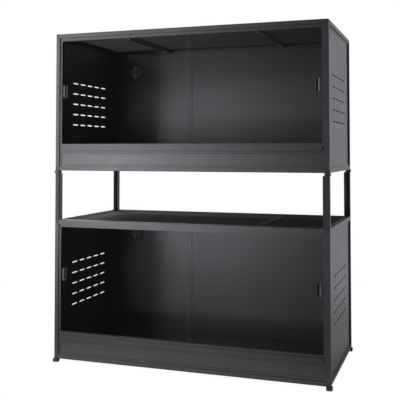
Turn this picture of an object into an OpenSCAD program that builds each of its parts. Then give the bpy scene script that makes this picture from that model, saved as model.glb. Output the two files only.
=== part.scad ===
// Two sliding-door terrarium cabinets, stacked on an open spacer of four posts.
// Each cabinet is a frame of hollow extrusions whose lips hold the floor, back and
// vented side panels, a screen top on two crossbars, a sill with a twin track for
// two glass doors, a fascia board below it and a turning cable port in the back.
// Millimetres, +Z up, front toward -Y, origin on the ground under the middle.

/* [Cabinets] */
// Width of one cabinet frame
cab_w = 1220; // [1000:10:1500]
// Depth of one cabinet frame
cab_d = 610; // [480:10:750]
// Height of one cabinet frame, without its feet
cab_h = 610; // [500:10:900]
// Height of the open space between the two frames
gap_h = 218; // [120:2:400]

/* [Frame extrusion] */
// Side of the hollow square body
body = 18; // [16.5:0.5:24]
// Wall of the body and of its lips
wall = 1.5; // [1.2:0.1:1.8]
// Reach of the panel lips past the body
lip = 10.5; // [8:0.5:14]
// Step from the frame's outer face back to the outer lip
lip_step = 5; // [3:0.5:6]
// Rounding of the extrusion's outer edge
edge_r = 2; // [0.5:0.5:3]

/* [Panels] */
// Thickness of the floor, back, side and fascia panels
panel_t = 6; // [4:0.5:6.5]
// Play on each face of a panel in its groove
panel_play = 0.2; // [0.1:0.05:0.3]
// Gap between a panel's edge and the bottom of its groove
panel_end = 1; // [0.5:0.25:2]
// Height of fascia that shows between the bottom rail and the sill
fascia_show = 49; // [30:0.5:90]

/* [Vent slots] */
// Slots in a row
vent_columns = 5; // [2:1:6]
// Rows of slots
vent_rows = 5; // [2:1:8]
// Length of a slot with its round ends
vent_l = 55; // [30:1:64]
// Width of a slot
vent_w = 5.5; // [4:0.5:12]
// Spacing of the columns
vent_pitch_y = 70.3; // [66:0.1:72]
// Spacing of the rows
vent_pitch_z = 48.2; // [20:0.1:56]

/* [Doors] */
// Thickness of the glass
glass_t = 4; // [3:0.5:5]
// Gap between the front and the rear door
door_gap = 5; // [4.8:0.1:7]
// Width of the strip where the doors overlap
door_overlap = 22; // [15:1:60]
// Middle of that strip, right of the cabinet's middle
overlap_x = 24; // [-60:1:60]
// Gap between a closed door's edge and the post it closes on
door_end = 1.5; // [1:0.25:3]
// Running gap under a door
door_lift = 0.3; // [0.2:0.05:0.5]
// Room above a door, so that it lifts out
head_room = 4; // [2:0.5:6]
// Depth of the upper door track
head_track = 14; // [10:0.5:18]
// Depth of the door track on the sill
sill_track = 12; // [8:0.5:20]

/* [Door pulls] */
// Width of a finger pull
pull_w = 20; // [16:0.5:30]
// Height of a finger pull
pull_h = 54; // [40:1:100]
// How far a pull stands proud of the glass
pull_t = 4.2; // [3:0.1:4.5]
// Height of the lower cabinet's pulls above its frame's lower face
lower_pull_z = 370; // [200:1:420]
// Height of the upper cabinet's pulls above its frame's lower face
upper_pull_z = 351; // [200:1:420]
// Gap between the left post and its pull
left_pull_gap = 8; // [2:0.5:20]
// Gap between the right post and its pull
right_pull_gap = 9; // [2:0.5:20]
// Thickness of a pull's base plate
pull_base = 1.2; // [0.8:0.1:1.6]
// Width of the pull's high rib, on its post side
high_rib = 7; // [5:0.5:8]
// Width of the pull's low rib
low_rib = 4; // [3:0.5:5]

/* [Screen top] */
// Place of each crossbar, from the cabinet's middle
crossbar_x = 295; // [150:5:380]
// Width of a crossbar
crossbar_w = 24; // [16:1:36]
// Height of a crossbar
crossbar_h = 10; // [7:0.5:16]
// Screen frame that shows along the front and rear rails
border_y = 20; // [10:1:40]
// Screen frame that shows along the side rails
border_x = 5; // [4:1:30]
// Screen frame between a net's window and the middle of a crossbar
seam_border = 8; // [7:1:12]
// Wanted spacing of the net's strands
net_pitch = 62; // [50:1:90]
// Width of a net strand
strand_w = 3; // [1:0.5:5]
// Thickness of the net
net_t = 1.5; // [0.8:0.1:2]
// Width of the rebate that the net lies in
rebate_w = 4; // [2:0.5:4]

/* [Cable port] */
// From the cabinet's left side to the middle of the port
port_in = 125; // [90:1:300]
// From the frame's upper face down to the middle of the port
port_down = 115; // [90:1:250]
// Radius of the port's flange
port_r = 42.5; // [41:0.5:50]
// Radius of the hole through the back panel
hole_r = 38; // [36.5:0.5:38.5]
// Radius that the cover turns in
port_bore_r = 34.5; // [30:0.5:34.5]
// Thickness of the cover and of the flange
cover_t = 2.2; // [1.6:0.1:3]
// Height of the finger ridge on the cover
ridge_h = 4; // [2:0.5:6]
// Width of the finger ridge
ridge_w = 3; // [2:0.5:5]
// Radius of the pin that the cover turns on
pin_r = 3; // [2:0.25:4]

/* [Feet and connectors] */
// Side of a foot
foot_w = 24; // [22:1:32]
// Height of the feet on the ground
foot_h = 15; // [8:1:30]
// How far a ground foot stands outside the frame
foot_out = 5; // [0:0.5:6]
// Height of the plug feet on the spacer posts
plug_h = 12; // [8:1:20]
// How far a plug foot stands outside the frame
plug_out = 3; // [0:0.5:4]
// Length of a connector leg inside an extrusion
leg_l = 26; // [15:1:40]
// Play of a leg in its extrusion
leg_play = 0.2; // [0.1:0.05:0.3]
// Radius of the peg that locates a foot
peg_r = 4; // [3:0.25:5]
// Length of that peg
peg_l = 9; // [5:1:11]

/* [Hidden] */
$fn = 64;

// Colours
anodised = "#2b2c2e";
board = "#1f2022";
moulded = "#17181a";
netting = "#3a3b3d";
clear_glass = [0.75, 0.85, 0.85, 0.3];

// Half sizes of one cabinet
half_w = cab_w / 2;
half_d = cab_d / 2;

// The grooves: a panel lies between the outer and the inner lip
groove = panel_t + 2 * panel_play;
inner_lip_y = lip_step + wall + groove;
panel_y = lip_step + wall + panel_play;
cover_w = body + lip;
panel_in = body + panel_end;
// How far a tenon reaches into the walls of the hollow that holds it
tenon_in = 0.5;
// How far a cut runs past what it cuts
cut = 1;
// How far two forms of one piece run into each other
fuse = 0.5;

// The doors, measured back from the frame's front face
door_play = (groove - glass_t) / 2;
front_door_y = lip_step + wall + door_play;
rear_door_y = front_door_y + glass_t + door_gap;
rear_wall_y = rear_door_y + glass_t + door_play;
track_d = rear_wall_y + wall;

// Heights of the front, above the frame's lower face
fascia_top = cover_w + fascia_show;
sill_z = fascia_top + lip;
door_z = sill_z + body + door_lift;
door_top = cab_h - body - head_room;
door_side = half_w - body - door_end;

// The screen top
tenon_w = crossbar_w - 2 * wall + 2 * tenon_in;
tongue_h = crossbar_h - 2 * wall + tenon_in - panel_play;
net_play = 0.2;
screen_top = cab_h - panel_y;
screen_z = screen_top - panel_t;
side_window = half_w - cover_w - border_x;
// Each bay's edges and the edges of its window, from left to right
bays = [
    [-half_w + body, -crossbar_x, -side_window, -crossbar_x - seam_border],
    [-crossbar_x, crossbar_x, seam_border - crossbar_x, crossbar_x - seam_border],
    [crossbar_x, half_w - body, crossbar_x + seam_border, side_window]
];

// The cable port, in its own frame: its axis is +Z into the cabinet and Z = 0 is
// the back panel's inner face
port_x = port_in - half_w;
port_z = cab_h - port_down;
back_y = half_d - panel_y - panel_t;
turn_play = 0.3;
lug_out = 1.5;
lug_w = 10;
lug_t = 1.8;
lug_gap = 0.2;
tube_r = hole_r - turn_play;
tube_wall = 1;
tube_l = panel_t + lug_gap + lug_t + fuse;
web_top = -1.3;
web_t = 2;
rib_top = -turn_play;
rib_w = 1.6;
rib_pitch = 7;
rib_turn = -35;
rib_h = 0.8;
cover_r = port_bore_r - turn_play;
cover_rim = 3.2;
window_r = cover_r - cover_rim;
boss_wall = 3;
boss_r = pin_r + boss_wall;
boss_gap = 1;
pin_play = 0.05;
pin_end = 0.2;

// Feet and connectors
foot_r = 3;
pad_h = 2;
pad_in = 1.5;
peg_play = 0.2;
peg_end = 1;
leg_w = body - 2 * wall - 2 * leg_play;
leg_groove_w = 4;
leg_groove_d = 1.5;

// Levels of the stack
lower_z = foot_h;
spacer_z = lower_z + cab_h;
upper_z = spacer_z + gap_h;
spacer_l = gap_h - plug_h;

// ---- Sections of the extrusions, with the outer corner at the origin ----

// A square whose outer corner is rounded
module corner_square() {
    translate([edge_r, edge_r]) circle(edge_r);
    translate([edge_r, 0]) square([body - edge_r, body]);
    translate([0, edge_r]) square([body, body - edge_r]);
}

module body_section() {
    difference() {
        corner_square();
        translate([wall, wall]) square(body - 2 * wall);
    }
}

// A thin wall of the section that grows from the body toward +X
module fin(y, reach) {
    translate([body - wall, y]) square([wall + reach, wall]);
}

// Two lips toward +X that hold a panel between them
module lip_section() {
    fin(lip_step, lip);
    fin(inner_lip_y, lip);
}

// Three walls toward +X that guide two doors between them
module track_section(reach) {
    fin(lip_step, reach);
    fin(inner_lip_y, reach);
    fin(rear_wall_y, reach);
    translate([body - wall, body - wall]) square([wall, track_d - body + wall]);
}

// Turns what grows toward +X toward +Y
module swap() {
    mirror([1, -1, 0]) children();
}

// ---- Placing ----

// Local X, Y and Z become Y, Z and X
module along_x() {
    rotate([90, 0, 90]) children();
}

// Local X, Y and Z become Z, X and Y
module along_y() {
    rotate([-90, -90, 0]) children();
}

module to_top() {
    translate([0, 0, cab_h]) mirror([0, 0, 1]) children();
}

module to_rear() {
    mirror([0, 1, 0]) children();
}

module to_right() {
    mirror([1, 0, 0]) children();
}

module both_sides() {
    children();
    to_right() children();
}

// A copy at each of the four vertical edges
module four_corners() {
    both_sides() {
        children();
        to_rear() children();
    }
}

module at_lower() {
    translate([0, 0, lower_z]) children();
}

module at_upper() {
    translate([0, 0, upper_z]) children();
}

// ---- Frame of one cabinet ----

module post_place() {
    translate([-half_w, -half_d, cab_h / 2]) children();
}

module plain_post(length) {
    linear_extrude(length, center = true) {
        body_section();
        lip_section();
        swap() lip_section();
    }
}

// A front post: its inner side is the jamb of the two doors
module front_post() {
    color(anodised) post_place() linear_extrude(cab_h - 2 * body, center = true) {
        body_section();
        track_section(lip);
        swap() lip_section();
    }
}

module rear_post() {
    color(anodised) to_rear() post_place() plain_post(cab_h - 2 * body);
}

// Front or rear rail at the bottom: lips up to the fascia or back panel, lips in to the floor
module long_rail(up_lips = true) {
    translate([0, -half_d, 0]) along_x() {
        linear_extrude(cab_w - 2 * body, center = true) {
            body_section();
            lip_section();
        }
        if (up_lips) linear_extrude(cab_w - 2 * cover_w, center = true) swap() lip_section();
    }
}

module side_rail() {
    translate([-half_w, 0, 0]) along_y() {
        linear_extrude(cab_d - 2 * body, center = true) body_section();
        linear_extrude(cab_d - 2 * cover_w, center = true) {
            lip_section();
            swap() lip_section();
        }
    }
}

module bottom_front_rail() {
    color(anodised) long_rail();
}

module bottom_rear_rail() {
    color(anodised) to_rear() long_rail();
}

module bottom_side_rails() {
    color(anodised) both_sides() side_rail();
}

module top_front_rail() {
    color(anodised) to_top() {
        long_rail(up_lips = false);
        translate([0, -half_d, 0]) along_x()
            linear_extrude(cab_w - 2 * cover_w, center = true) swap() track_section(head_track);
    }
}

module top_rear_rail() {
    color(anodised) to_top() to_rear() long_rail();
}

module top_side_rails() {
    color(anodised) to_top() both_sides() side_rail();
}

// The sill: twin door track above a hollow body, fascia groove below it, tenons in the jambs
module door_sill() {
    color(anodised) translate([0, -half_d, sill_z]) {
        along_x() linear_extrude(cab_w - 2 * cover_w, center = true) {
            difference() {
                square([track_d, body]);
                translate([wall, wall]) square([track_d - 2 * wall, body - 2 * wall]);
            }
            for (y = [lip_step, inner_lip_y, rear_wall_y])
                translate([y, body - wall]) square([wall, wall + sill_track]);
            for (y = [lip_step, inner_lip_y])
                translate([y, -lip]) square([wall, wall + lip]);
        }
        both_sides() translate([-half_w + panel_in, panel_y, wall - tenon_in])
            cube([lip, panel_t, body - 2 * wall + 2 * tenon_in]);
    }
}

// ---- Panels of one cabinet ----

module fascia_panel() {
    color(board) translate([-half_w + panel_in, -half_d + panel_y, panel_in])
        cube([cab_w - 2 * panel_in, panel_t, sill_z - panel_end - panel_in]);
}

module slot_section() {
    square([vent_l - vent_w, vent_w], center = true);
    for (end = [-1, 1])
        translate([end * (vent_l - vent_w) / 2, 0]) circle(vent_w / 2);
}

// Left side panel with its field of vent slots; local X is depth and local Y is height
module vent_panel() {
    color(board) translate([-half_w + panel_y, 0, cab_h / 2])
        rotate([90, 0, 90]) linear_extrude(panel_t) difference() {
            square([cab_d - 2 * panel_in, cab_h - 2 * panel_in], center = true);
            for (column = [0 : vent_columns - 1], row = [0 : vent_rows - 1])
                translate([
                    (column - (vent_columns - 1) / 2) * vent_pitch_y,
                    (row - (vent_rows - 1) / 2) * vent_pitch_z
                ]) slot_section();
        }
}

module back_panel() {
    color(board) difference() {
        translate([-half_w + panel_in, back_y, panel_in])
            cube([cab_w - 2 * panel_in, panel_t, cab_h - 2 * panel_in]);
        port_place() translate([0, 0, -panel_t - cut]) cylinder(r = hole_r, h = panel_t + 2 * cut);
    }
}

module floor_panel() {
    color(board) translate([-half_w + panel_in, -half_d + panel_in, panel_y])
        cube([cab_w - 2 * panel_in, cab_d - 2 * panel_in, panel_t]);
}

// ---- Screen top of one cabinet ----

// Hollow bar with its upper face at Y = 0
module crossbar_section() {
    difference() {
        translate([-crossbar_w / 2, -crossbar_h]) square([crossbar_w, crossbar_h]);
        translate([wall - crossbar_w / 2, wall - crossbar_h])
            square([crossbar_w - 2 * wall, crossbar_h - 2 * wall]);
    }
}

// The bars that the screens meet on. A tongue in each end reaches under the rail's inner
// lip: at the front as far as the door track, at the rear as far as the rail's body
module crossbars() {
    color(anodised) both_sides() translate([crossbar_x, 0, cab_h - inner_lip_y]) {
        rotate([90, 0, 0]) linear_extrude(cab_d - 2 * cover_w, center = true) crossbar_section();
        for (end = [[0, track_d + panel_end], [1, panel_in]])
            mirror([0, end[0], 0])
                translate([-tenon_w / 2, end[1] - half_d, wall - tenon_in - crossbar_h])
                    cube([tenon_w, cover_w + lip - end[1], tongue_h]);
    }
}

// Corners of the window in a bay's screen frame, seen from above
function window_low(bay) = [bay[2], -half_d + cover_w + border_y];
function window_high(bay) = [bay[3], half_d - cover_w - border_y];

// A flat block between two corners seen from above
module slab(low, high, z, thick) {
    translate([low[0], low[1], z]) cube([high[0] - low[0], high[1] - low[1], thick]);
}

module screen_frames() {
    rebate = [rebate_w, rebate_w];
    color(anodised) for (bay = bays) difference() {
        slab([bay[0] + panel_end, -half_d + panel_in], [bay[1] - panel_end, half_d - panel_in],
            screen_z, panel_t);
        slab(window_low(bay), window_high(bay), screen_z - cut, panel_t + 2 * cut);
        slab(window_low(bay) - rebate, window_high(bay) + rebate, screen_top - net_t, net_t + cut);
    }
}

// One net: a sheet with a border in the rebate and even gaps across the window
module net(low, high) {
    span = high - low;
    columns = round(span[0] / net_pitch);
    rows = round(span[1] / net_pitch);
    step = [(span[0] + strand_w) / columns, (span[1] + strand_w) / rows];
    border = rebate_w - net_play;
    translate([0, 0, screen_top - net_t]) linear_extrude(net_t) difference() {
        translate([low[0] - border, low[1] - border])
            square([span[0] + 2 * border, span[1] + 2 * border]);
        for (column = [0 : columns - 1], row = [0 : rows - 1])
            translate([low[0] + column * step[0], low[1] + row * step[1]])
                square([step[0] - strand_w, step[1] - strand_w]);
    }
}

module screen_nets() {
    color(netting) for (bay = bays) net(window_low(bay), window_high(bay));
}

// ---- Doors of one cabinet ----

// A pane between two X values, its front face at y behind the frame's front face
module pane(x_low, x_high, y) {
    color(clear_glass) translate([x_low, -half_d + y, door_z])
        cube([x_high - x_low, glass_t, door_top - door_z]);
}

module left_door() {
    pane(-door_side, overlap_x + door_overlap / 2, front_door_y);
}

module right_door() {
    pane(overlap_x - door_overlap / 2, door_side, rear_door_y);
}

// A finger pull: its outer side at X = 0, its back at Y = 0, standing proud toward -Y
module pull() {
    color(moulded) mirror([0, 1, 0]) {
        linear_extrude(pull_h, center = true) {
            square([pull_w, pull_base]);
            rounded_bar(high_rib, pull_t);
            translate([pull_w - low_rib, 0]) rounded_bar(low_rib, pull_t - pull_base);
        }
        for (end = [0, 1])
            mirror([0, 0, end]) translate([0, 0, pull_h / 2 - pull_base])
                linear_extrude(pull_base) rounded_bar(pull_w, pull_t - pull_base);
    }
}

// A bar section whose two outer corners are rounded
module rounded_bar(width, height) {
    r = height / 3;
    square([width, height - r]);
    translate([r, 0]) square([width - 2 * r, height]);
    for (x = [r, width - r])
        translate([x, height - r]) circle(r);
}

module left_pull(z) {
    translate([-half_w + cover_w + left_pull_gap, -half_d + front_door_y, z]) pull();
}

module right_pull(z) {
    to_right() translate([-half_w + cover_w + right_pull_gap, -half_d + rear_door_y, z]) pull();
}

// ---- Cable port ----

module port_place() {
    translate([port_x, back_y, port_z]) rotate([90, 0, 0]) children();
}

// Slanted ribs across one half of the port, within a radius
module slanted_ribs(r) {
    intersection() {
        circle(r);
        translate([boss_r, -r]) square([r, 2 * r]);
        rotate(rib_turn) for (i = [-floor(r / rib_pitch) : floor(r / rib_pitch)])
            translate([i * rib_pitch - rib_w / 2, -r]) square([rib_w, 2 * r]);
    }
}

// The ring: flange, tube through the panel, snap lugs, fixed half web and the pin
module port_ring() {
    color(moulded) port_place() {
        difference() {
            union() {
                cylinder(r = port_r, h = cover_t);
                translate([0, 0, -tube_l]) cylinder(r = tube_r, h = tube_l + fuse);
            }
            translate([0, 0, -tube_l - cut])
                cylinder(r = port_bore_r, h = tube_l + cover_t + 2 * cut);
        }
        translate([0, 0, -panel_t - lug_gap - lug_t]) linear_extrude(lug_t) difference() {
            intersection() {
                circle(tube_r + lug_out);
                for (turn = [0, 90])
                    rotate(turn) square([2 * port_r, lug_w], center = true);
            }
            circle(tube_r - tube_wall);
        }
        translate([0, 0, web_top - web_t]) {
            linear_extrude(web_t) intersection() {
                circle(port_bore_r + fuse);
                translate([-pin_r, -port_r]) square([2 * port_r, 2 * port_r]);
            }
            cylinder(r = boss_r, h = rib_top - web_top + web_t);
            cylinder(r = pin_r, h = cover_t + web_t - web_top - pin_end);
        }
        translate([0, 0, web_top - fuse]) linear_extrude(rib_top - web_top + fuse)
            slanted_ribs(port_bore_r - fuse);
    }
}

// The cover: a disc with a half window that turns over the ring's web
module port_cover() {
    color(moulded) port_place() {
        linear_extrude(cover_t) difference() {
            circle(cover_r);
            circle(pin_r + pin_play);
            difference() {
                intersection() {
                    circle(window_r);
                    translate([ridge_w / 2, -cover_r]) square([cover_r, 2 * cover_r]);
                }
                circle(boss_r + boss_gap);
            }
        }
        translate([0, 0, cover_t - fuse]) {
            linear_extrude(ridge_h + fuse) difference() {
                square([ridge_w, 2 * window_r], center = true);
                circle(pin_r + boss_gap);
            }
            linear_extrude(rib_h + fuse) mirror([1, 0]) slanted_ribs(window_r);
        }
    }
}

// ---- Connectors, feet and spacer ----

// The leg that plugs into an extrusion, toward +Z, on the body's own axis
module leg(length) {
    translate([body / 2, body / 2, 0]) linear_extrude(length) difference() {
        square(leg_w, center = true);
        for (turn = [0 : 90 : 270])
            rotate(turn) translate([leg_w / 2 - leg_groove_d, -leg_groove_w / 2])
                square([leg_groove_d + cut, leg_groove_w]);
    }
}

module peg(r, length) {
    translate([body / 2, body / 2, 0]) cylinder(r = r, h = length);
}

// Three-way connector at the corner nearest the origin, with its socket in the lower face
module corner_connector() {
    difference() {
        union() {
            intersection() {
                linear_extrude(body) corner_square();
                along_x() linear_extrude(body) corner_square();
                along_y() linear_extrude(body) corner_square();
            }
            translate([0, 0, body - fuse]) leg(leg_l + fuse);
            translate([body - fuse, 0, 0]) along_x() leg(leg_l + fuse);
            translate([0, body - fuse, 0]) along_y() leg(leg_l + fuse);
        }
        translate([0, 0, -cut]) peg(peg_r + peg_play, cut + peg_l + peg_end);
    }
}

module corner_connectors() {
    color(moulded) four_corners() {
        translate([-half_w, -half_d, 0]) corner_connector();
        to_top() translate([-half_w, -half_d, 0]) corner_connector();
    }
}

// Section of a foot that stands outside the frame by out
module foot_section(out, inset) {
    side = foot_w - 2 * inset;
    r = foot_r - inset;
    translate([inset - out, inset - out]) {
        translate([r, 0]) square([side - 2 * r, side]);
        translate([0, r]) square([side, side - 2 * r]);
        for (x = [r, side - r], y = [r, side - r])
            translate([x, y]) circle(r);
    }
}

// Ground feet: block, narrower pad and a peg up into the connector
module ground_feet() {
    color(moulded) four_corners() translate([-half_w, -half_d, -foot_h]) {
        linear_extrude(foot_h) foot_section(foot_out, pad_in);
        translate([0, 0, pad_h]) linear_extrude(foot_h - pad_h) foot_section(foot_out, 0);
        translate([0, 0, foot_h - fuse]) peg(peg_r, peg_l + fuse);
    }
}

// Plug foot with its leg toward +Z and its peg toward -Z, from Z = 0 to its height
module plug_foot() {
    linear_extrude(plug_h) foot_section(plug_out, 0);
    translate([0, 0, -peg_l]) peg(peg_r, peg_l + fuse);
    translate([0, 0, plug_h - fuse]) leg(leg_l + fuse);
}

// The upper cabinet's feet, plugged down into the spacer posts
module plug_feet() {
    color(moulded) four_corners() translate([-half_w, -half_d, 0]) mirror([0, 0, 1]) plug_foot();
}

// Plugs between the spacer posts and the lower cabinet: a leg up into the post and a peg down
module spacer_plugs() {
    color(moulded) four_corners() translate([-half_w, -half_d, spacer_z]) {
        translate([0, 0, -peg_l]) peg(peg_r, peg_l + fuse);
        leg(leg_l);
    }
}

module spacer_posts() {
    color(anodised) four_corners()
        translate([-half_w, -half_d, spacer_z + spacer_l / 2]) plain_post(spacer_l);
}

// ---- The assembly, one node to a line ----

at_lower() front_post();  // lower_front_left_post
at_lower() to_right() front_post();  // lower_front_right_post
at_lower() rear_post();  // lower_rear_left_post
at_lower() to_right() rear_post();  // lower_rear_right_post
at_lower() top_front_rail();  // lower_top_front_rail
at_lower() top_rear_rail();  // lower_top_rear_rail
at_lower() top_side_rails();  // lower_top_side_rails
at_lower() bottom_front_rail();  // lower_bottom_front_rail
at_lower() bottom_rear_rail();  // lower_bottom_rear_rail
at_lower() bottom_side_rails();  // lower_bottom_side_rails
at_lower() door_sill();  // lower_door_sill
at_lower() fascia_panel();  // lower_fascia_panel
at_lower() vent_panel();  // lower_left_vent_panel
at_lower() to_right() vent_panel();  // lower_right_vent_panel
at_lower() back_panel();  // lower_back_panel
at_lower() floor_panel();  // lower_floor_panel
at_lower() crossbars();  // lower_crossbars
at_lower() screen_frames();  // lower_screen_frames
at_lower() screen_nets();  // lower_screen_nets
at_lower() left_door();  // lower_left_door
at_lower() right_door();  // lower_right_door
at_lower() left_pull(lower_pull_z);  // lower_left_pull
at_lower() right_pull(lower_pull_z);  // lower_right_pull
at_lower() port_ring();  // lower_port_ring
at_lower() port_cover();  // lower_port_cover
at_lower() corner_connectors();  // lower_corner_connectors
at_lower() ground_feet();  // lower_feet
spacer_posts();
spacer_plugs();
at_upper() front_post();  // upper_front_left_post
at_upper() to_right() front_post();  // upper_front_right_post
at_upper() rear_post();  // upper_rear_left_post
at_upper() to_right() rear_post();  // upper_rear_right_post
at_upper() top_front_rail();  // upper_top_front_rail
at_upper() top_rear_rail();  // upper_top_rear_rail
at_upper() top_side_rails();  // upper_top_side_rails
at_upper() bottom_front_rail();  // upper_bottom_front_rail
at_upper() bottom_rear_rail();  // upper_bottom_rear_rail
at_upper() bottom_side_rails();  // upper_bottom_side_rails
at_upper() door_sill();  // upper_door_sill
at_upper() fascia_panel();  // upper_fascia_panel
at_upper() vent_panel();  // upper_left_vent_panel
at_upper() to_right() vent_panel();  // upper_right_vent_panel
at_upper() back_panel();  // upper_back_panel
at_upper() floor_panel();  // upper_floor_panel
at_upper() crossbars();  // upper_crossbars
at_upper() screen_frames();  // upper_screen_frames
at_upper() screen_nets();  // upper_screen_nets
at_upper() left_door();  // upper_left_door
at_upper() right_door();  // upper_right_door
at_upper() left_pull(upper_pull_z);  // upper_left_pull
at_upper() right_pull(upper_pull_z);  // upper_right_pull
at_upper() port_ring();  // upper_port_ring
at_upper() port_cover();  // upper_port_cover
at_upper() corner_connectors();  // upper_corner_connectors
at_upper() plug_feet();  // upper_feet
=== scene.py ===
"""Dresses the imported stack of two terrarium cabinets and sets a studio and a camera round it.

Metres, +Z up, the doors face -Y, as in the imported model.
"""

import sys

import functools
import logging
import math
from collections.abc import Mapping, Sequence
from dataclasses import dataclass
from enum import Enum
from typing import ClassVar, Union

import bmesh
import bpy
from mathutils import Euler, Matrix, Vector


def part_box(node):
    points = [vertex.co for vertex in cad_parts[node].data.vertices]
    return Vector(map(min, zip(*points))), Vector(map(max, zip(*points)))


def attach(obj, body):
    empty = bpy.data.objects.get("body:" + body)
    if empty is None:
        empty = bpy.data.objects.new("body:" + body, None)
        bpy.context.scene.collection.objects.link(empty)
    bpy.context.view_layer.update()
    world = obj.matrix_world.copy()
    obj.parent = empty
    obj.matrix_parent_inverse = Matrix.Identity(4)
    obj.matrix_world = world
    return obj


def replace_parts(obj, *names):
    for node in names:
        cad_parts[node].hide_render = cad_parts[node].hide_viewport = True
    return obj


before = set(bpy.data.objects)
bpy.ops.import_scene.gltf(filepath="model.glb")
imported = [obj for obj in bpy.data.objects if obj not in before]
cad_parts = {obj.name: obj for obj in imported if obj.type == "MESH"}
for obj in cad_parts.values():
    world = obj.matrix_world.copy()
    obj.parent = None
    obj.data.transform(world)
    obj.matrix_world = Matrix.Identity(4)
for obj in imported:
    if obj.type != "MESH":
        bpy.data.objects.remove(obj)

LOG = logging.getLogger("cabinets")
FRAME_BODY = "frame"
LEVELS = ("lower", "upper")
SIDES = ("left", "right")
PANES = ("left_door", "right_door")
UP = Vector((0.0, 0.0, 1.0))

Pair = tuple[float, float]
Triple = tuple[float, float, float]
Operand = Union["Signal", float, Triple]

BLACK: Triple = (0.0, 0.0, 0.0)
WHITE: Triple = (1.0, 1.0, 1.0)


# ---- Nodes as expressions ----


class Signal:
    """An output socket on which Python's operators add nodes.

    Values go through Math nodes, vectors through Vector Math and colours through Mix.
    """

    OPERATIONS: ClassVar[dict[str, str]] = {
        "+": "ADD",
        "-": "SUBTRACT",
        "*": "MULTIPLY",
        "**": "POWER",
    }

    def __init__(self, recipe: "Recipe", socket: bpy.types.NodeSocket) -> None:
        """Keeps the socket with the recipe that its node belongs to."""
        self.recipe = recipe
        self.socket = socket

    def tap(self, output: str) -> "Signal":
        """Gives another output of the same node."""
        return Signal(self.recipe, self.socket.node.outputs[output])

    def swing(self, span: float) -> "Signal":
        """Turns a value from 0 to 1 into one that swings about 0, as far in all as the span."""
        return (self - 0.5) * span

    def blend(self, other: "Signal", share: float) -> "Signal":
        """Mixes a second value into this one, which keeps the given share."""
        return self * share + other * (1.0 - share)

    def _join(self, sign: str, first: Operand, second: Operand) -> "Signal":
        """Adds the node that works out one sum.

        Args:
            sign: The operator between the two.
            first: What stands before it.
            second: What stands after it.

        Returns:
            The node's result.
        """
        operation = self.OPERATIONS[sign]
        if self.socket.type == "RGBA":
            settings = {"data_type": "RGBA", "blend_type": operation}
            return self.recipe.add("ShaderNodeMix", settings, {0: 1.0, 6: first, 7: second}, 2)
        kind = "ShaderNodeVectorMath" if self.socket.type == "VECTOR" else "ShaderNodeMath"
        return self.recipe.add(kind, {"operation": operation}, {0: first, 1: second})

    def __add__(self, other: Operand) -> "Signal":
        """Adds."""
        return self._join("+", self, other)

    def __radd__(self, other: Operand) -> "Signal":
        """Adds, with the signal second."""
        return self._join("+", other, self)

    def __sub__(self, other: Operand) -> "Signal":
        """Takes away."""
        return self._join("-", self, other)

    def __rsub__(self, other: Operand) -> "Signal":
        """Takes the signal away from a number."""
        return self._join("-", other, self)

    def __mul__(self, other: Operand) -> "Signal":
        """Multiplies."""
        return self._join("*", self, other)

    def __rmul__(self, other: Operand) -> "Signal":
        """Multiplies, with the signal second."""
        return self._join("*", other, self)

    def __pow__(self, other: Operand) -> "Signal":
        """Raises to a power."""
        return self._join("**", self, other)

    def __rpow__(self, other: Operand) -> "Signal":
        """Raises a number to the signal's power."""
        return self._join("**", other, self)


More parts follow.
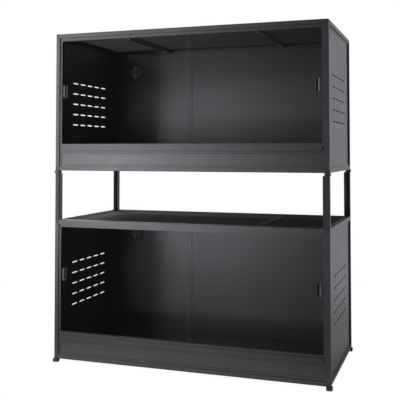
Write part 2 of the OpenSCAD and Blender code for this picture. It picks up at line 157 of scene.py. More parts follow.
class Recipe:
    """The node tree of one finish, or of the studio's world."""

    BEVEL_SAMPLES: ClassVar[int] = 8

    def __init__(self, tree: bpy.types.NodeTree) -> None:
        """Starts with an empty node tree."""
        tree.nodes.clear()
        self.tree = tree

    def add(
        self,
        kind: str,
        settings: Mapping[str, object] | None = None,
        sockets: Mapping[int | str, Operand] | None = None,
        output: int | str = 0,
    ) -> Signal:
        """Adds a node.

        Args:
            kind: The node's type.
            settings: The node's own settings, which are set first.
            sockets: A value or a link for each input that isn't left as it is.
            output: The output that the signal stands for.

        Returns:
            That output.
        """
        node = self.tree.nodes.new(kind)
        for name, value in (settings or {}).items():
            setattr(node, name, value)
        for name, value in (sockets or {}).items():
            socket = node.inputs[name]
            if isinstance(value, Signal):
                self.tree.links.new(value.socket, socket)
            elif socket.type == "RGBA":
                socket.default_value = (*value, 1.0)
            else:
                socket.default_value = value
        return Signal(self, node.outputs[output])

    def close(self, shader: Signal, kind: str = "ShaderNodeOutputMaterial") -> None:
        """Joins the shader to the tree's output."""
        self.tree.links.new(shader.socket, self.tree.nodes.new(kind).inputs["Surface"])

    def place(self, stretch: Triple = (1.0, 1.0, 1.0)) -> Signal:
        """Gives the point on the piece in metres, stretched along each axis."""
        return self.add("ShaderNodeTexCoord", output="Object") * stretch

    def part(self, vector: Signal, axis: str) -> Signal:
        """Gives a vector's part along one axis."""
        return self.add("ShaderNodeSeparateXYZ", {}, {0: vector}, axis)

    def noise(self, where: Signal, cells: float, detail: float) -> Signal:
        """Gives a noise from 0 to 1 at that many cells a metre."""
        sockets = {"Vector": where, "Scale": cells, "Detail": detail}
        return self.add("ShaderNodeTexNoise", {}, sockets)

    def grade(self, value: Signal, low: float, high: float) -> Signal:
        """Stretches a value to run from 0 to 1, with soft ends.

        Args:
            value: The value.
            low: What becomes 0, with all that lies beyond it.
            high: What becomes 1, with all that lies beyond it.

        Returns:
            The stretched value.
        """
        settings = {"clamp": True, "interpolation_type": "SMOOTHSTEP"}
        sockets = {"Value": value, "From Min": low, "From Max": high}
        return self.add("ShaderNodeMapRange", settings, sockets)

    def between(self, value: Signal, low: float, high: float, soft: float) -> Signal:
        """Gives 1 where a value lies between two limits and 0 where it lies outside them.

        Args:
            value: The value.
            low: The lower limit.
            high: The upper limit.
            soft: How far to each side of a limit the change from 0 to 1 reaches.

        Returns:
            The mask.
        """
        off = value - (low + high) / 2
        off = self.add("ShaderNodeMath", {"operation": "ABSOLUTE"}, {0: off})
        half = (high - low) / 2
        return self.grade(off, half + soft, half - soft)

    def tint(self, amount: Signal, none: Operand, full: Operand) -> Signal:
        """Goes from one colour to another."""
        return self.add("ShaderNodeMix", {"data_type": "RGBA"}, {0: amount, 6: none, 7: full}, 2)

    def relief(
        self, height: Signal, depth: float, strength: float, rounding: float = 0.0
    ) -> Signal:
        """Gives the normal of an uneven surface.

        Args:
            height: The unevenness, from 0 to 1.
            depth: Its depth in metres.
            strength: How much of it shows.
            rounding: The radius in metres of the softened edges, or 0 for sharp ones.

        Returns:
            The normal.
        """
        sockets: dict[int | str, Operand] = {
            "Height": height,
            "Distance": depth,
            "Strength": strength,
        }
        if rounding:
            bevel = {"samples": self.BEVEL_SAMPLES}
            sockets["Normal"] = self.add("ShaderNodeBevel", bevel, {"Radius": rounding})
        return self.add("ShaderNodeBump", {}, sockets)

    def principled(self, sockets: Mapping[str, Operand]) -> Signal:
        """Adds the common surface shader."""
        return self.add("ShaderNodeBsdfPrincipled", {}, sockets)

    def mixed(self, amount: Signal | float, none: Signal, full: Signal) -> Signal:
        """Mixes two shaders."""
        return self.add("ShaderNodeMixShader", {}, {0: amount, 1: none, 2: full})


# ---- Finishes ----
# Cells are those of a noise, to the metre. A pair whose name ends in from holds the values at
# which a mask is 0 and 1.


class Run(Enum):
    """The axis that an extrusion runs along."""

    X = 0
    Y = 1
    Z = 2


@dataclass(frozen=True)
class Finish:
    """What all finishes share: the record's slot and a material that is made once."""

    slot: ClassVar[str]

    def shade(self, recipe: Recipe) -> Signal:
        """Builds the surface's nodes and gives the shader."""
        raise NotImplementedError

    @functools.cache
    def material(self) -> bpy.types.Material:
        """Makes the finish's material.

        Returns:
            The material, the same one each time.
        """
        material = bpy.data.materials.new(type(self).__name__)
        material.use_nodes = True
        recipe = Recipe(material.node_tree)
        recipe.close(self.shade(recipe))
        return material


@dataclass(frozen=True)
class AnodisedFinish(Finish):
    """Satin black anodised aluminium, with the fine lines of the die along the extrusion."""

    slot: ClassVar[str] = "anodised_extrusion"
    run: Run = Run.X
    dark: Triple = (0.0135, 0.0138, 0.0148)
    light: Triple = (0.0215, 0.0220, 0.0234)
    scratched: Triple = (0.02, 0.02, 0.021)
    roughness: float = 0.385
    ior: float = 1.58
    drawn_out: float = 0.006
    die_cells: float = 1300.0
    broad_cells: float = 260.0
    cloud_cells: float = 7.0
    hairline_cells: float = 620.0
    hairline_from: Pair = (0.70, 0.78)
    line_depth: float = 0.00002

    def shade(self, recipe: Recipe) -> Signal:
        """Builds die lines, clouding of the dye and a few lighter hairlines.

        Args:
            recipe: The material's nodes.

        Returns:
            The shader.
        """
        along = tuple(self.drawn_out if axis == self.run.value else 1.0 for axis in range(3))
        streaked = recipe.place(along)
        die = recipe.noise(streaked, self.die_cells, detail=3.0)
        broad = recipe.noise(streaked, self.broad_cells, detail=1.0)
        cloud = recipe.noise(recipe.place(), self.cloud_cells, detail=4.0)
        rare = recipe.noise(streaked, self.hairline_cells, detail=0.0)
        hairline = recipe.grade(rare, *self.hairline_from)
        colour = recipe.tint(cloud.blend(broad, 0.7), self.dark, self.light)
        gloss = self.roughness + die.swing(0.12) + cloud.swing(0.10)
        return recipe.principled(
            {
                "Base Color": recipe.tint(hairline * 0.5, BLACK, self.scratched) + colour,
                "Roughness": gloss - hairline * 0.05,
                "IOR": self.ior,
                "Normal": recipe.relief(die.blend(broad, 0.6), self.line_depth, strength=0.6),
            }
        )


@dataclass(frozen=True)
class BoardFinish(Finish):
    """Black foamed board with a fine pebbled skin."""

    slot: ClassVar[str] = "panel_board"
    dark: Triple = (0.0105, 0.0106, 0.0115)
    light: Triple = (0.0175, 0.0177, 0.0190)
    roughness: float = 0.38
    ior: float = 1.65
    pebble_cells: float = 900.0
    cloud_cells: float = 4.0
    patch_cells: float = 14.0
    patch_shape: Triple = (1.0, 1.0, 2.5)
    rubbed_from: Pair = (0.52, 0.72)
    pebble_depth: float = 0.00006

    def shade(self, recipe: Recipe) -> Signal:
        """Builds the pebbles, slow clouding and faint rubbed patches.

        Args:
            recipe: The material's nodes.

        Returns:
            The shader.
        """
        where = recipe.place()
        pebble = recipe.noise(where, self.pebble_cells, detail=2.0)
        cloud = recipe.noise(where, self.cloud_cells, detail=4.0)
        patch = recipe.noise(where * self.patch_shape, self.patch_cells, detail=5.0)
        sheen = recipe.grade(patch, *self.rubbed_from)
        gloss = self.roughness + pebble.swing(0.10) + cloud.swing(0.06)
        return recipe.principled(
            {
                "Base Color": recipe.tint(cloud.blend(pebble, 0.6), self.dark, self.light),
                "Roughness": gloss - sheen * 0.04,
                "IOR": self.ior,
                "Normal": recipe.relief(pebble, self.pebble_depth, strength=0.35),
            }
        )


@dataclass(frozen=True)
class MouldedFinish(Finish):
    """Black moulded plastic with a spark-eroded grain, deeper or fainter by a factor."""

    slot: ClassVar[str] = "moulded_plastic"
    dark: Triple = (0.0105, 0.0105, 0.0110)
    light: Triple = (0.0205, 0.0205, 0.0215)
    roughness: float = 0.42
    ior: float = 1.5
    grain: float = 1.0
    rounding: float = 0.0
    grain_cells: float = 2600.0
    grain_depth: float = 0.00004
    flow_cells: float = 60.0
    flow_shape: Triple = (1.0, 1.0, 0.35)

    def colour(self, recipe: Recipe, clouding: Signal) -> Signal:
        """Gives the plastic's colour."""
        return recipe.tint(clouding, self.dark, self.light)

    def shade(self, recipe: Recipe) -> Signal:
        """Builds the grain, flow marks and their change of gloss.

        Args:
            recipe: The material's nodes.

        Returns:
            The shader.
        """
        where = recipe.place()
        grain = recipe.noise(where, self.grain_cells, detail=1.0)
        flow = recipe.noise(where * self.flow_shape, self.flow_cells, detail=3.0)
        swing = (grain.swing(0.14) + flow.swing(0.08)) * self.grain
        depth = self.grain_depth * self.grain
        return recipe.principled(
            {
                "Base Color": self.colour(recipe, flow.blend(grain, 0.7)),
                "Roughness": self.roughness + swing,
                "IOR": self.ior,
                "Normal": recipe.relief(grain, depth, strength=0.5, rounding=self.rounding),
            }
        )


@dataclass(frozen=True)
class RibbedFinish(MouldedFinish):
    """Moulded plastic whose forward-facing ribs carry a painted highlight along their tops."""

    front: float = 0.0
    rear: float = 0.0
    soft: float = 0.0001
    # colour of the painted highlight on the ribs' tops
    sheen: Triple = (0.17, 0.17, 0.175)
    sheen_patches_from: Pair = (0.2, 0.5)

    def colour(self, recipe: Recipe, clouding: Signal) -> Signal:
        """Gives the plastic's colour, with a painted highlight between the Y values of the ribs'
        tops.

        Args:
            recipe: The material's nodes.
            clouding: The plastic's clouding, which also breaks the painted highlight into patches.

        Returns:
            The colour.
        """
        tops = recipe.between(recipe.part(recipe.place(), "Y"), self.front, self.rear, self.soft)
        # painted highlight: the ribs' tops paler, in patches
        amount = tops * recipe.grade(clouding, *self.sheen_patches_from)
        return recipe.tint(amount, super().colour(recipe, clouding), self.sheen)


@dataclass(frozen=True)
class WireFinish(Finish):
    """Black coated wire, its coat thinner in places."""

    slot: ClassVar[str] = "screen_net"
    coat: Triple = (0.012, 0.012, 0.0125)
    worn: Triple = (0.035, 0.035, 0.037)
    roughness: float = 0.42
    thin_cells: float = 180.0
    thin_from: Pair = (0.45, 0.75)
    run_cells: float = 1500.0
    run_depth: float = 0.00003

    def shade(self, recipe: Recipe) -> Signal:
        """Builds the coat's thin places and runs.

        Args:
            recipe: The material's nodes.

        Returns:
            The shader.
        """
        where = recipe.place()
        thin = recipe.noise(where, self.thin_cells, detail=3.0)
        thin = recipe.grade(thin, *self.thin_from)
        run = recipe.noise(where, self.run_cells, detail=1.0)
        return recipe.principled(
            {
                "Base Color": recipe.tint(thin, self.coat, self.worn),
                "Roughness": self.roughness + run.swing(0.15) - thin * 0.06,
                "Normal": recipe.relief(run, self.run_depth, strength=0.4),
            }
        )


@dataclass(frozen=True)
class RubberFinish(Finish):
    """Dull black rubber cord that holds the net in its rebate."""

    slot: ClassVar[str] = "moulded_plastic"
    clean: Triple = (0.008, 0.008, 0.008)
    bloomed: Triple = (0.022, 0.022, 0.023)
    roughness: float = 0.62
    bloom_cells: float = 90.0
    grit_cells: float = 2200.0
    grit_depth: float = 0.00005

    def shade(self, recipe: Recipe) -> Signal:
        """Builds the bloom and the fine texture.

        Args:
            recipe: The material's nodes.

        Returns:
            The shader.
        """
        where = recipe.place()
        bloom = recipe.noise(where, self.bloom_cells, detail=4.0)
        grit = recipe.noise(where, self.grit_cells, detail=1.0)
        return recipe.principled(
            {
                "Base Color": recipe.tint(bloom, self.clean, self.bloomed),
                "Roughness": self.roughness + grit.swing(0.12),
                "Normal": recipe.relief(grit, self.grit_depth, strength=0.5),
            }
        )


@dataclass(frozen=True)
class ZincFinish(Finish):
    """Bright zinc on small screws."""

    slot: ClassVar[str] = "screw_steel"
    bright: Triple = (0.80, 0.80, 0.80)
    dull: Triple = (0.58, 0.58, 0.60)
    metallic: float = 0.6
    roughness: float = 0.36
    patch_cells: float = 700.0
    turned_cells: float = 3500.0
    turned_depth: float = 0.00003

    def shade(self, recipe: Recipe) -> Signal:
        """Builds the patchy gloss of plated steel.

        Args:
            recipe: The material's nodes.

        Returns:
            The shader.
        """
        where = recipe.place()
        patch = recipe.noise(where, self.patch_cells, detail=3.0)
        turned = recipe.noise(where, self.turned_cells, detail=1.0)
        return recipe.principled(
            {
                "Base Color": recipe.tint(patch, self.bright, self.dull),
                "Metallic": self.metallic,
                "Roughness": self.roughness + patch.swing(0.25),
                "Normal": recipe.relief(turned, self.turned_depth, strength=0.4),
            }
        )


@dataclass(frozen=True)
class GlassFinish(Finish):
    """Clear toughened glass with ground, greenish edges, of which the left one carries a painted
    glow.
    """

    slot: ClassVar[str] = "door_glass"
    left: float = 0.0
    clear: Triple = (0.980, 0.982, 0.985)
    edge_dark: Triple = (0.030, 0.055, 0.048)
    edge_light: Triple = (0.075, 0.120, 0.105)
    # colour of the painted glow on the left edge, light seen through the pane
    painted_edge_glow: Triple = (0.55, 0.62, 0.59)
    painted_glow_from: Pair = (0.0020, 0.0012)
    edge_roughness: float = 0.32
    edge_from: Pair = (0.6, 0.4)
    head_on: float = 0.042
    slant_power: float = 5.0
    wiped_cells: float = 9.0
    wiped_shape: Triple = (1.0, 1.0, 0.4)
    wiped_roughness: float = 0.02
    grind_cells: float = 800.0
    grind_depth: float = 0.00004

    def shade(self, recipe: Recipe) -> Signal:
        """Builds clear faces that gloss more at a slant, and ground edges.

        Whatever faces neither forward nor back is an edge. The left one gets a painted glow, told
        by how far it lies from the pane's left side.

        Args:
            recipe: The material's nodes.

        Returns:
            The shader.
        """
        where = recipe.place()
        facing = recipe.add("ShaderNodeLayerWeight", {}, {"Blend": 0.5}, "Facing")
        slant = facing**self.slant_power
        wiped = recipe.noise(where * self.wiped_shape, self.wiped_cells, detail=4.0)
        clear = recipe.add("ShaderNodeBsdfTransparent", {}, {"Color": self.clear})
        smear = {"Roughness": wiped * self.wiped_roughness}
        gloss = recipe.add("ShaderNodeBsdfAnisotropic", {}, smear)
        faces = recipe.mixed(slant * (1.0 - self.head_on) + self.head_on, clear, gloss)
        grind = recipe.noise(where, self.grind_cells, detail=2.0)
        ground = recipe.tint(grind, self.edge_dark, self.edge_light)
        # painted glow: the edge near the pane's left side is made pale
        none, full = (self.left + reach for reach in self.painted_glow_from)
        pale = recipe.grade(recipe.part(where, "X"), none, full)
        edge = recipe.principled(
            {
                "Base Color": recipe.tint(pale, ground, self.painted_edge_glow),
                "Roughness": self.edge_roughness + grind.swing(0.2),
                "Normal": recipe.relief(grind, self.grind_depth, strength=0.4),
            }
        )
        across = recipe.part(recipe.add("ShaderNodeTexCoord", output="Normal"), "Y")
        return recipe.mixed(recipe.grade(across * across, *self.edge_from), faces, edge)


@dataclass(frozen=True)
class SeamShadowFinish(Finish):
    """Another finish with painted shadow lines in its seams, where a form steps back behind the one
    next to it.
    """

    under: Finish
    shadow_bands: tuple[Pair, ...]
    soft: float = 0.0002
    # the dull dark shader below stands in for the shade in a seam: painted shadow
    dark: Triple = (0.004, 0.004, 0.004)
    roughness: float = 0.8
    ior: float = 1.15

    def shade(self, recipe: Recipe) -> Signal:
        """Builds the finish and lays a dull dark strip of painted shadow over it between each two
        heights.

        Args:
            recipe: The material's nodes.

        Returns:
            The shader.
        """
        shader = self.under.shade(recipe)
        height = recipe.part(recipe.place(), "Z")
        dull = {"Base Color": self.dark, "Roughness": self.roughness, "IOR": self.ior}
        shadow = recipe.principled(dull)
        # each band between two heights gets the painted shadow
        for low, high in self.shadow_bands:
            shader = recipe.mixed(recipe.between(height, low, high, self.soft), shader, shadow)
        return shader


BOARD = BoardFinish()
MATT = AnodisedFinish(
    dark=(0.008, 0.008, 0.0085), light=(0.013, 0.013, 0.0138), roughness=0.62, ior=1.4
)
MOULDED = MouldedFinish()
WIRE = WireFinish()
RUBBER = RubberFinish()
ZINC = ZincFinish()


def dress(node: str, finish: Finish) -> None:
    """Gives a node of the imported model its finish.

    Args:
        node: The node's name.
        finish: The finish of all its faces.
    """
    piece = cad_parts[node]
    if not piece.material_slots:
        piece.data.materials.append(None)
    for slot in piece.material_slots:
        slot.material = finish.material()
    LOG.info("%s: %s", node, type(finish).__name__)


# ---- Meshes ----


class Maker:
    """Collects the faces of one new piece."""

    def __init__(self, name: str) -> None:
        """Starts an empty piece of that name."""
        self.name = name
        self.mesh = bmesh.new()

    def rod(self, start: Vector, end: Vector, radius: float, sides: int = 6) -> None:
        """Adds a straight wire with closed ends, along X or Y.

        Args:
            start: The middle of one end.
            end: The middle of the other end.
            radius: The wire's radius.
            sides: The sides of its section.
        """
        across = (end - start).normalized().cross(UP)
        rings = []
        for middle in (start, end):
            ring = []
            for turn in range(sides):
                angle = math.tau * (turn + 0.5) / sides
                offset = across * math.cos(angle) + UP * math.sin(angle)
                ring.append(self.mesh.verts.new(middle + offset * radius))
            rings.append(ring)
        self._skin(rings)
        self.mesh.faces.new(rings[0][::-1])
        self.mesh.faces.new(rings[1])

    def loop(self, rings: Sequence[Sequence[Vector]]) -> None:
        """Adds a closed tube through rings of points, the last joined to the first."""
        made = [[self.mesh.verts.new(point) for point in ring] for ring in rings]
        self._skin(made + made[:1])

    def button(self, rings: Sequence[Sequence[Vector]], middle: Vector) -> None:
        """Adds a turned form that closes on its middle point.

        Args:
            rings: Its rings, from the outermost to the one round the middle.
            middle: The point that closes it.
        """
        made = [[self.mesh.verts.new(point) for point in ring] for ring in rings]
        self._skin(made)
        tip = self.mesh.verts.new(middle)
        last = made[-1]
        for index, vert in enumerate(last):
            self.mesh.faces.new((vert, last[(index + 1) % len(last)], tip))
        self.mesh.faces.new(made[0][::-1])

    def _skin(self, rings: Sequence[Sequence[bmesh.types.BMVert]]) -> None:
        """Joins each ring to the next with four-sided faces.

        Args:
            rings: The rings, all with the same number of corners.
        """
        for low, high in zip(rings, rings[1:]):
            for index in range(len(low)):
                after = (index + 1) % len(low)
                self.mesh.faces.new((low[index], low[after], high[after], high[index]))

    def finish(self, finish: Finish, sharp: float | None = None) -> bpy.types.Object:
        """Turns the faces into a piece that rides on the frame.

        Args:
            finish: The piece's finish.
            sharp: The angle in degrees past which an edge stays sharp, or None for flat faces.

        Returns:
            The piece.
        """
        bmesh.ops.recalc_face_normals(self.mesh, faces=self.mesh.faces)
        data = bpy.data.meshes.new(self.name)
        self.mesh.to_mesh(data)
        self.mesh.free()
        if sharp is not None:
            data.shade_smooth()
            data.set_sharp_from_angle(angle=math.radians(sharp))
        data.materials.append(finish.material())
        piece = bpy.data.objects.new(self.name, data)
        bpy.context.scene.collection.objects.link(piece)
        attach(piece, FRAME_BODY)
        LOG.info("%s: %d faces, %s", self.name, len(data.polygons), type(finish).__name__)
        return piece


# ---- The cabinets ----


@dataclass
class CabinetFrame:
    """The extrusions of one cabinet, each with die lines along its own run.

    The sill's front face ends in a lip over the fascia, and a painted shadow line darkens the lip's
    root under the sill's body.
    """

    level: str
    lip: float = 0.0105
    # height of the painted shadow line at the lip's root
    shadow_line: float = 0.0011

    def build(self) -> None:
        """Dresses posts, rails, sill, connectors and feet."""
        runs = {
            Run.Z: ("front_left_post", "front_right_post", "rear_left_post", "rear_right_post"),
            Run.X: ("top_front_rail", "top_rear_rail", "bottom_front_rail", "bottom_rear_rail"),
            Run.Y: ("top_side_rails", "bottom_side_rails"),
        }
        for run, names in runs.items():
            for name in names:
                dress(f"{self.level}_{name}", AnodisedFinish(run))
        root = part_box(f"{self.level}_door_sill")[0].z + self.lip
        # painted shadow just below the sill's body, on the lip
        shadow_bands = ((root - self.shadow_line, root),)
        dress(f"{self.level}_door_sill", SeamShadowFinish(AnodisedFinish(Run.X), shadow_bands))
        dress(f"{self.level}_corner_connectors", MOULDED)
        dress(f"{self.level}_feet", MOULDED)


@dataclass
class Panels:
    """The boards of one cabinet, the fascia with a painted shadow line along each lip that holds
    it.

    The shadow lines' sizes are how far they reach to each side of the lip's edge.
    """

    level: str
    names: tuple[str, ...] = ("floor_panel", "back_panel", "left_vent_panel", "right_vent_panel")
    # painted shadow lines on the fascia, under the sill's lip and along the bottom rail's top
    top_shadow_line: float = 0.0012
    low_shadow_line: float = 0.0004

    def build(self) -> None:
        """Dresses the boards and the fascia."""
        for name in self.names:
            dress(f"{self.level}_{name}", BOARD)
        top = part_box(f"{self.level}_door_sill")[0].z
        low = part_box(f"{self.level}_bottom_front_rail")[1].z
        # painted shadow at the fascia's top and bottom edges
        shadow_bands = (
            (top - self.top_shadow_line, top + self.top_shadow_line),
            (low - self.low_shadow_line, low + self.low_shadow_line),
        )
        dress(f"{self.level}_fascia_panel", SeamShadowFinish(BOARD, shadow_bands))


@dataclass
class Doors:
    """The two sliding panes of one cabinet and their pulls.

    The tops of a pull's ribs lie between two Y values, measured from the pane's front.
    """

    level: str
    rib_tops: Pair = (-0.0100, -0.0033)
    rib_soft: float = 0.0009
    dark: Triple = (0.006, 0.006, 0.0063)
    light: Triple = (0.011, 0.011, 0.0115)
    # colour of the painted highlight on the tops of the pulls' ribs
    sheen: Triple = (0.10, 0.10, 0.103)
    roughness: float = 0.12
    ior: float = 1.6
    grain: float = 0.25
    rounding: float = 0.0010

    def build(self) -> None:
        """Dresses the panes and the pulls."""
        for side in SIDES:
            pane = f"{self.level}_{side}_door"
            dress(pane, GlassFinish(left=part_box(pane)[0].x))
            front, rear = (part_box(pane)[0].y + offset for offset in self.rib_tops)
            finish = RibbedFinish(
                dark=self.dark,
                light=self.light,
                roughness=self.roughness,
                ior=self.ior,
                grain=self.grain,
                rounding=self.rounding,
                front=front,
                rear=rear,
                soft=self.rib_soft,
                sheen=self.sheen,
            )
            dress(f"{self.level}_{side}_pull", finish)


@dataclass
class CablePort:
    """The ring and the turning cover in the back panel.

    The tops of their ribs lie between two Y values, measured from the back panel's front.
    """

    level: str
    ring_tops: Pair = (-0.0003, 0.0006)
    cover_tops: Pair = (-0.0070, -0.0026)
    # colour of the painted highlight on the tops of the ring's and cover's ribs
    sheen: Triple = (0.26, 0.26, 0.268)
    roughness: float = 0.30
    rounding: float = 0.0006

    def build(self) -> None:
        """Dresses the ring and the cover."""
        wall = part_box(f"{self.level}_back_panel")[0].y
        for name, (front, rear) in (("port_ring", self.ring_tops), ("port_cover", self.cover_tops)):
            finish = RibbedFinish(
                roughness=self.roughness,
                rounding=self.rounding,
                front=wall + front,
                rear=wall + rear,
                sheen=self.sheen,
            )
            dress(f"{self.level}_{name}", finish)


@dataclass
class ScreenTop:
    """Crossbars, screen frames, wire nets, the cords that hold them and the crossbars' screws.

    Three windows lie side by side, divided by the crossbars, and each has a net and a cord.
    """

    level: str
    side_x: float = 0.5765  # the outer edge of the outer windows
    bar_x: float = 0.295  # the middle of a crossbar and its screws
    bar_half: float = 0.008
    depth: float = 0.2565  # half a window's depth
    pitch: float = 0.0035
    wire: float = 0.00035  # the wires' radius
    sunk: float = 0.0004  # the upper wires' middle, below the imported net's top
    crossing: float = 1.8  # from one layer of wires to the other, in radii
    tuck: float = 0.0022  # the wires' ends, past the window's edge
    cord: float = 0.0016  # the cord's radius
    cord_out: float = 0.0019  # its middle line, past the window's edge
    cord_proud: float = 0.0002  # its middle line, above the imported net's top
    cord_turn: float = 0.003  # its middle line's radius in a corner
    cord_sides: int = 8
    turn_steps: int = 4
    cord_sharp: float = 60.0
    screw_y: float = 0.214
    head: float = 0.0046  # the screw head's radius
    head_high: float = 0.0036
    head_rings: int = 21
    head_crowding: float = 0.9  # below 1, the rings lie closer near the rim
    head_sides: int = 48
    head_sharp: float = 35.0
    dome_fall: float = 0.72  # the share of the squared height that is lost at the rim
    dome_power: float = 2.6  # the higher, the flatter the middle
    slot_half: float = 0.0006
    slot_reach: float = 0.0026
    slot_deep: float = 0.0018

    @property
    def windows(self) -> tuple[Pair, ...]:
        """The left and the right edge of each window."""
        inner, outer = self.bar_x - self.bar_half, self.bar_x + self.bar_half
        return ((-self.side_x, -outer), (-inner, inner), (outer, self.side_x))

    def build(self) -> None:
        """Dresses the bars and frames and makes the rest."""
        dress(f"{self.level}_crossbars", AnodisedFinish(Run.Y))
        dress(f"{self.level}_screen_frames", MATT)
        self.make_nets()
        self.make_cords()
        self.make_screws()

    def make_nets(self) -> None:
        """Makes nets of fine wires that cross and bite into each other, tucked under the cords."""
        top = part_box(f"{self.level}_screen_nets")[1].z
        maker = Maker(f"{self.level}_wire_nets")
        front, rear = -self.depth - self.tuck, self.depth + self.tuck
        high_z = top - self.sunk
        low_z = high_z - self.crossing * self.wire
        for low, high in self.windows:
            left, right = low - self.tuck, high + self.tuck
            for y in self.spaced(-self.depth, self.depth):
                maker.rod(Vector((left, y, high_z)), Vector((right, y, high_z)), self.wire)
            for x in self.spaced(low, high):
                maker.rod(Vector((x, front, low_z)), Vector((x, rear, low_z)), self.wire)
        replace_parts(maker.finish(WIRE), f"{self.level}_screen_nets")

    def spaced(self, low: float, high: float) -> list[float]:
        """Gives the wires' places between two edges of a window."""
        count = round((high - low) / self.pitch)
        return [low + (high - low) * (index + 0.5) / count for index in range(count)]

    def make_cords(self) -> None:
        """Makes the rubber cord pressed into the rebate round each window."""
        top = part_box(f"{self.level}_screen_nets")[1].z
        maker = Maker(f"{self.level}_net_cords")
        depth, z = self.depth + self.cord_out, top + self.cord_proud
        for low, high in self.windows:
            maker.loop(self.cord_rings(low - self.cord_out, high + self.cord_out, depth, z))
        maker.finish(RUBBER, self.cord_sharp)

    def cord_rings(self, low: float, high: float, depth: float, z: float) -> list[list[Vector]]:
        """Gives the sections of a cord laid round a window with rounded corners.

        Args:
            low: The cord's middle line on the left.
            high: The cord's middle line on the right.
            depth: How far that line lies in front of and behind the window's middle.
            z: Its height.

        Returns:
            The rings of points, in order round the window.
        """
        rings = []
        corners = ((high, depth), (low, depth), (low, -depth), (high, -depth))
        turns = [math.tau * side / self.cord_sides for side in range(self.cord_sides)]
        for corner, (x, y) in enumerate(corners):
            side_x = math.copysign(1.0, x - (low + high) / 2)
            side_y = math.copysign(1.0, y)
            middle = Vector((x, y, z)) - self.cord_turn * Vector((side_x, side_y, 0.0))
            for step in range(self.turn_steps + 1):
                angle = math.pi / 2 * (corner + step / self.turn_steps)
                outward = Vector((math.cos(angle), math.sin(angle), 0.0))
                centre = middle + outward * self.cord_turn
                around = [outward * math.cos(turn) + UP * math.sin(turn) for turn in turns]
                rings.append([centre + self.cord * offset for offset in around])
        return rings

    def make_screws(self) -> None:
        """Makes the four pan-head screws in the crossbars' lower faces."""
        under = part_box(f"{self.level}_crossbars")[0].z
        maker = Maker(f"{self.level}_crossbar_screws")
        for x in (-self.bar_x, self.bar_x):
            for y in (-self.screw_y, self.screw_y):
                self.add_screw(maker, Vector((x, y, under)))
        maker.finish(ZINC, self.head_sharp)

    def add_screw(self, maker: Maker, seat: Vector) -> None:
        """Adds one pan head with its cross recess, hanging from its seat.

        Args:
            maker: The piece that it becomes part of.
            seat: The middle of the face that it is driven into.
        """
        rings = [self.screw_ring(seat, self.head, 0.0)]
        for step in range(self.head_rings):
            radius = self.head * (1 - step / self.head_rings) ** self.head_crowding
            rings.append(self.screw_ring(seat, radius, None))
        maker.button(rings, seat - UP * (self.head_high - self.slot_deep))

    def screw_ring(self, seat: Vector, radius: float, drop: float | None) -> list[Vector]:
        """Gives one ring of a screw's head.

        Args:
            seat: The middle of the face under the head.
            radius: The ring's radius.
            drop: How far it lies below the seat, or None to follow the domed head and its recess.

        Returns:
            The ring's points.
        """
        dome = self.dome_fall * (radius / self.head) ** self.dome_power
        points = []
        for turn in range(self.head_sides):
            angle = math.tau * turn / self.head_sides
            x, y = radius * math.cos(angle), radius * math.sin(angle)
            lower = drop
            if lower is None:
                lower = self.head_high * math.sqrt(1 - dome)
                narrow, wide = sorted((abs(x), abs(y)))
                if narrow < self.slot_half and wide < self.slot_reach:
                    lower -= self.slot_deep
            points.append(seat + Vector((x, y, -lower)))
        return points


@dataclass
class Cabinet:
    """One whole cabinet, by its level in the stack."""

    level: str

    def build(self) -> None:
        """Builds its sub-assemblies in order."""
        for part in (CabinetFrame, Panels, Doors, CablePort, ScreenTop):
            part(self.level).build()
        LOG.info("%s cabinet done", self.level)


@dataclass
class Spacer:
    """The four short posts between the cabinets, and the plugs under them."""

    post_ior: float = 1.40

    def build(self) -> None:
        """Dresses the posts and the plugs."""
        dress("spacer_posts", AnodisedFinish(Run.Z, ior=self.post_ior))
        dress("spacer_plugs", MOULDED)


# ---- The studio ----


@dataclass(frozen=True)
class Softbox:
    """One soft lamp, placed by its bearing from the stack.

    Azimuth is measured to the left of straight in front, in degrees, the middle is the lamp's
    height, and distance is on the ground. The nodes that it spares get no light from it.
    """

    name: str
    azimuth: float
    middle: float
    width: float
    height: float
    watts: float
    distance: float = 3.3
    aim: Triple = (-0.1, -0.3, 0.9)
    colour: Triple = (0.935, 0.955, 1.0)
    spared: tuple[str, ...] = (*PANES, "left_vent_panel")

    def build(self) -> None:
        """Hangs the lamp and turns it to the stack."""
        azimuth = math.radians(self.azimuth)
        aim = Vector(self.aim)
        lamp = bpy.data.lights.new(self.name, "AREA")
        lamp.shape = "RECTANGLE"
        lamp.size, lamp.size_y, lamp.energy = self.width, self.height, self.watts
        lamp.color = self.colour
        hung = bpy.data.objects.new(self.name, lamp)
        bearing = Vector((-math.sin(azimuth), -math.cos(azimuth), 0.0))
        hung.location = Vector((aim.x, aim.y, self.middle)) + bearing * self.distance
        hung.rotation_euler = (aim - hung.location).to_track_quat("-Z", "Y").to_euler()
        hung.visible_camera = False
        hung.light_linking.receiver_collection = self.leave_out()
        bpy.context.scene.collection.objects.link(hung)

    def leave_out(self) -> bpy.types.Collection:
        """Spares smooth pieces the lamp's light, which they would show as a hard mirror image.

        Returns:
            The collection of those pieces, each set to be left out.
        """
        pieces = bpy.data.collections.new(f"{self.name} leaves out")
        for level in LEVELS:
            for name in self.spared:
                pieces.objects.link(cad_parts[f"{level}_{name}"])
        for entry in pieces.collection_objects:
            entry.light_linking.link_state = "EXCLUDE"
        return pieces


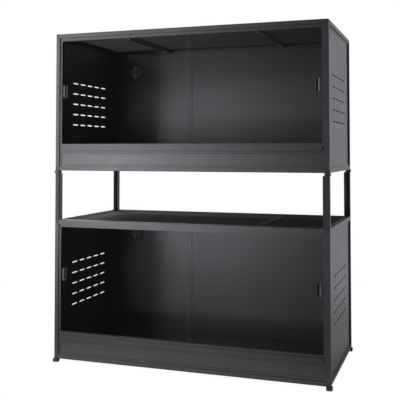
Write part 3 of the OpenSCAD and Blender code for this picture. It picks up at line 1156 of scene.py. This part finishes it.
LAMPS = (
    Softbox("low lamp", azimuth=25.0, middle=0.55, width=0.8, height=0.5, watts=6.0),
    Softbox("second low lamp", azimuth=31.0, middle=0.62, width=0.6, height=1.1, watts=25.0),
    Softbox("middle low lamp", azimuth=14.0, middle=0.25, width=0.5, height=0.3, watts=9.5),
    Softbox("high lamp", azimuth=24.0, middle=2.25, width=0.7, height=0.5, watts=10.0),
    Softbox("left lamp", azimuth=42.5, middle=2.0, width=0.5, height=0.7, watts=5.0),
    Softbox(
        "side lamp", azimuth=60.0, middle=1.9, width=2.1, height=1.7, watts=80.0, spared=PANES
    ),
)


@dataclass
class Studio:
    """A pale floor, a white backdrop, soft lamps and the dim room that gloss mirrors.

    Behind the stack that room has a bright wing to the left and a weaker one to the right. Each
    edge is the part of a bearing along X or Y where the change begins, and where it ends.
    """

    cool: Triple = (0.93, 0.95, 1.0)
    ambient: float = 0.55
    room: float = 0.05
    left_wing: float = 2.6
    left_edge: Pair = (-0.20, -0.50)
    right_wing: float = 0.67
    right_edge: Pair = (-0.03, 0.13)
    middle: float = 0.06
    rear_edge: Pair = (-0.05, 0.3)
    floor_middle: float = 0.55
    floor_x: float = 1.9
    floor_y: float = 1.25
    floor_high: float = -0.0002
    floor_corners: int = 96
    floor_fade: Pair = (0.82, 0.99)
    floor_paint: Triple = (0.90, 0.90, 0.90)
    floor_glow: float = 1.12
    floor_seen: float = 0.86

    def build(self) -> None:
        """Builds the room, the floor and the lamps."""
        self.make_world()
        self.make_floor()
        for lamp in LAMPS:
            lamp.build()
        LOG.info("studio done")

    def make_world(self) -> None:
        """Makes a world that is white to look at, lights evenly and is mirrored as a room."""
        world = bpy.data.worlds.new("studio")
        world.use_nodes = True
        world.cycles.sampling_method = "NONE"
        bpy.context.scene.world = world
        recipe = Recipe(world.node_tree)
        back = recipe.part(recipe.add("ShaderNodeTexCoord", output="Generated"), "Y")
        across = back.tap("X")
        left = recipe.grade(across, *self.left_edge) * self.left_wing
        right = recipe.grade(across, *self.right_edge) * self.right_wing
        mirrored = recipe.grade(back, *self.rear_edge) * (left + right + self.middle) + self.room
        path = recipe.add("ShaderNodeLightPath", output="Is Camera Ray")
        sight = {0: path, 1: path.tap("Is Transmission Ray")}
        seen = recipe.add("ShaderNodeMath", {"operation": "MAXIMUM"}, sight)
        glossy = path.tap("Is Glossy Ray")
        other = glossy * mirrored + (1.0 - glossy) * self.ambient
        strength = seen + (1.0 - seen) * other
        light = {"Color": recipe.tint(seen, self.cool, WHITE), "Strength": strength}
        recipe.close(recipe.add("ShaderNodeBackground", {}, light), "ShaderNodeOutputWorld")

    def make_floor(self) -> None:
        """Makes the pale floor, which fades into the white round the stack."""
        mesh = bmesh.new()
        rim = []
        for corner in range(self.floor_corners):
            turn = math.tau * corner / self.floor_corners
            x = self.floor_x * math.cos(turn)
            y = self.floor_middle + self.floor_y * math.sin(turn)
            rim.append(mesh.verts.new((x, y, self.floor_high)))
        mesh.faces.new(rim)
        data = bpy.data.meshes.new("floor")
        mesh.to_mesh(data)
        mesh.free()
        material = bpy.data.materials.new("pale floor")
        material.use_nodes = True
        recipe = Recipe(material.node_tree)
        where = recipe.add("ShaderNodeTexCoord", output="Object") - (0.0, self.floor_middle, 0.0)
        where = where * (1.0 / self.floor_x, 1.0 / self.floor_y, 0.0)
        reach = recipe.add("ShaderNodeVectorMath", {"operation": "LENGTH"}, {0: where}, "Value")
        camera = recipe.add("ShaderNodeLightPath", output="Is Camera Ray")
        paint = recipe.add("ShaderNodeBsdfDiffuse", {}, {"Color": self.floor_paint})
        white = {"Color": WHITE, "Strength": self.floor_glow}
        glow = recipe.add("ShaderNodeEmission", {}, white)
        lit = recipe.mixed(camera * self.floor_seen, paint, glow)
        clear = recipe.add("ShaderNodeBsdfTransparent")
        recipe.close(recipe.mixed(recipe.grade(reach, *self.floor_fade), lit, clear))
        data.materials.append(material)
        floor = bpy.data.objects.new("floor", data)
        bpy.context.scene.collection.objects.link(floor)


@dataclass
class Viewpoint:
    """The camera, where the photograph was taken from."""

    place: Triple = (1.06724, -3.17199, 0.93086)
    tilt: float = math.pi / 2 + 0.0372
    pan: float = 0.3338
    lens: float = 65.598
    sensor: float = 36.0
    shift: float = -0.19096

    def build(self) -> None:
        """Sets the camera up."""
        data = bpy.data.cameras.new("camera")
        data.sensor_width, data.lens, data.shift_y = self.sensor, self.lens, self.shift
        camera = bpy.data.objects.new("camera", data)
        camera.location = self.place
        camera.rotation_euler = Euler((self.tilt, 0.0, self.pan))
        bpy.context.scene.collection.objects.link(camera)
        bpy.context.scene.camera = camera


def main() -> None:
    """Builds the camera, the studio and every sub-assembly."""
    logging.basicConfig(level=logging.INFO, format="%(message)s", stream=sys.stdout)
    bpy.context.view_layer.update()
    bpy.context.scene.view_settings.view_transform = "Standard"
    Viewpoint().build()
    Studio().build()
    for level in LEVELS:
        Cabinet(level).build()
    Spacer().build()
    bpy.context.view_layer.update()


if __name__ == "__main__":
    main()
